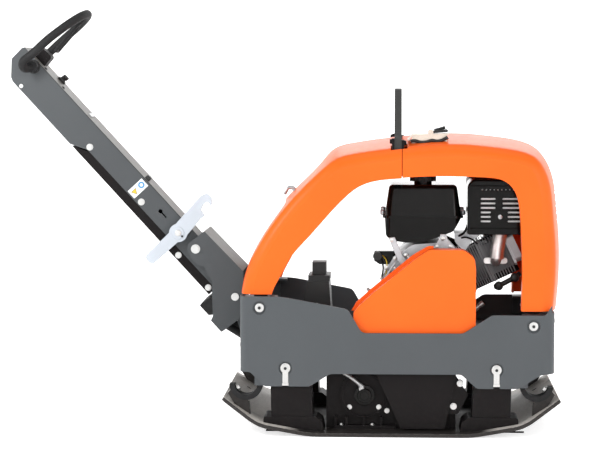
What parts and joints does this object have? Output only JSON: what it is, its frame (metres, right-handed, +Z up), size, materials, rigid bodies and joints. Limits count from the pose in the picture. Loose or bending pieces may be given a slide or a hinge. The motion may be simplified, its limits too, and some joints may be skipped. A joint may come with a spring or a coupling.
{
  "type": "plate compactor",
  "caption": "Reversible plate compactor with a rockered base plate, sprung engine frame, hinged hood and a folding drawbar that carries a control ring.",
  "frame": {"origin": "centre of the base plate's flat contact face, on the ground", "axes": "+X forward, along the machine away from the drawbar; +Y to the machine's left; +Z up"},
  "size_m": [1.4939, 0.6, 1.128],
  "materials": {
    "hood_paint": "gloss orange paint",
    "frame_paint": "satin slate grey powder coat",
    "bar_paint": "satin dark grey powder coat",
    "dark_paint": "satin brown-black paint",
    "black_paint": "gloss black paint",
    "base_steel": "worn steel",
    "rubber_black": "matte",
    "zinc": "zinc plated",
    "cast_aluminium": "die cast",
    "bright_steel": "polished",
    "steel": "machined",
    "black_plastic": "fine texture",
    "latch_plastic": "satin",
    "beige_zinc": "passivated"
  },
  "bodies": {
    "base": {"base_plate": "base_steel", "exciter_housing": "dark_paint", "exciter_covers": "dark_paint", "exciter_bearings": "steel", "buffer_brackets": "dark_paint", "lower_belt_guard": "dark_paint", "base_bolts": "zinc"},
    "exciter_drive": {"drive_shaft": "steel", "drive_gear": "steel", "exciter_pulley": "steel"},
    "exciter_driven": {"driven_shaft": "steel", "driven_gear": "steel"},
    "frame": {"right_side_panel": "frame_paint", "left_side_panel": "frame_paint", "rear_cross_panel": "frame_paint", "front_cross_panel": "frame_paint", "engine_deck": "frame_paint", "drawbar_lug": "frame_paint", "rubber_buffers": "rubber_black", "frame_bolts": "zinc", "retaining_straps": "rubber_black", "belt_guard": "hood_paint", "v_belt": "rubber_black", "hydraulic_reservoir": "black_plastic", "hydraulic_hose": "rubber_black", "rear_hood": "hood_paint", "lifting_arch": "dark_paint", "lifting_frame": "dark_paint", "catch_loop": "steel", "crankcase": "cast_aluminium", "cylinder": "cast_aluminium", "cylinder_head": "cast_aluminium", "valve_cover": "cast_aluminium", "fan_housing": "black_paint", "cylinder_shroud": "cast_aluminium", "fuel_tank": "black_paint", "air_cleaner": "black_plastic", "carburettor": "cast_aluminium", "muffler": "steel", "muffler_guard": "black_paint", "exhaust_pipe": "bright_steel"},
    "crankshaft": {"crankshaft": "steel", "clutch_pulley": "steel", "flywheel": "cast_aluminium"},
    "front_hood": {"front_hood": "hood_paint", "latch_plate": "beige_zinc"},
    "hood_latch": {"hood_latch": "black_plastic"},
    "fuel_cap": {"fuel_cap": "black_plastic"},
    "recoil_grip": {"recoil_grip": "black_plastic"},
    "stop_switch": {"stop_switch": "black_plastic"},
    "drawbar": {"drawbar_bracket": "bar_paint", "drawbar_tube": "bar_paint", "drawbar_underplate": "dark_paint", "rubber_stops": "rubber_black", "drawbar_bolts": "zinc", "control_hub": "black_plastic", "hand_pump": "steel"},
    "control_ring": {"control_ring": "rubber_black"},
    "throttle_lever": {"throttle_lever": "black_plastic"},
    "transport_latch": {"transport_latch": "latch_plastic"}
  },
  "joints": [
    {"name": "frame_bounce", "type": "slide", "parent": "base", "child": "frame", "axis": [0, 0, 1], "range_m": [-0.006, 0.006], "stiffness_N_per_m": 450000, "springref_m": 0.00578, "deforming": ["rubber_buffers", "retaining_straps", "hydraulic_hose", "v_belt"]},
    {"name": "exciter_drive_spin", "type": "hinge", "parent": "base", "child": "exciter_drive", "pos_m": [0.07, 0, 0.1], "axis": [0, 1, 0], "continuous": true},
    {"name": "exciter_driven_spin", "type": "hinge", "parent": "base", "child": "exciter_driven", "pos_m": [-0.07, 0, 0.1], "axis": [0, 1, 0], "continuous": true},
    {"name": "crankshaft_spin", "type": "hinge", "parent": "frame", "child": "crankshaft", "pos_m": [0.114, 0, 0.379], "axis": [0, 1, 0], "continuous": true},
    {"name": "front_hood_hinge", "type": "hinge", "parent": "frame", "child": "front_hood", "pos_m": [0.436, 0, 0.322], "axis": [0, 1, 0], "range_deg": [0, 70]},
    {"name": "hood_latch_hinge", "type": "hinge", "parent": "front_hood", "child": "hood_latch", "pos_m": [0.104, -0.17, 0.8], "axis": [0, -1, 0], "range_deg": [0, 60]},
    {"name": "fuel_cap_turn", "type": "hinge", "parent": "frame", "child": "fuel_cap", "pos_m": [0.085, -0.04, 0.6622], "axis": [0, 0, 1], "range_deg": [0, 90]},
    {"name": "recoil_pull", "type": "slide", "parent": "frame", "child": "recoil_grip", "axis": [0, 1, 0], "range_m": [0, 0.3], "stiffness_N_per_m": 10, "springref_m": -0.05},
    {"name": "stop_switch_turn", "type": "hinge", "parent": "frame", "child": "stop_switch", "pos_m": [-0.038, 0, 0.462], "axis": [0, 1, 0], "range_deg": [0, 60]},
    {"name": "drawbar_hinge", "type": "hinge", "parent": "frame", "child": "drawbar", "pos_m": [-0.424, 0, 0.3486], "axis": [0, 1, 0], "range_deg": [0, 57]},
    {"name": "control_ring_tilt", "type": "hinge", "parent": "drawbar", "child": "control_ring", "pos_m": [-0.97663, 0, 0.97234], "axis": [0, 1, 0], "range_deg": [-25, 25]},
    {"name": "throttle_lever_turn", "type": "hinge", "parent": "drawbar", "child": "throttle_lever", "pos_m": [-0.91475, 0.022, 0.93252], "axis": [0.7361, 0, 0.6769], "range_deg": [-60, 60]},
    {"name": "transport_latch_swing", "type": "hinge", "parent": "drawbar", "child": "transport_latch", "pos_m": [-0.5805, -0.075, 0.5206], "axis": [0, 1, 0], "range_deg": [-10, 24]}
  ],
  "couplings": [
    {"joint": "exciter_driven_spin", "follows": "exciter_drive_spin", "ratio": -1},
    {"joint": "crankshaft_spin", "follows": "exciter_drive_spin", "ratio": 0.92308}
  ]
}
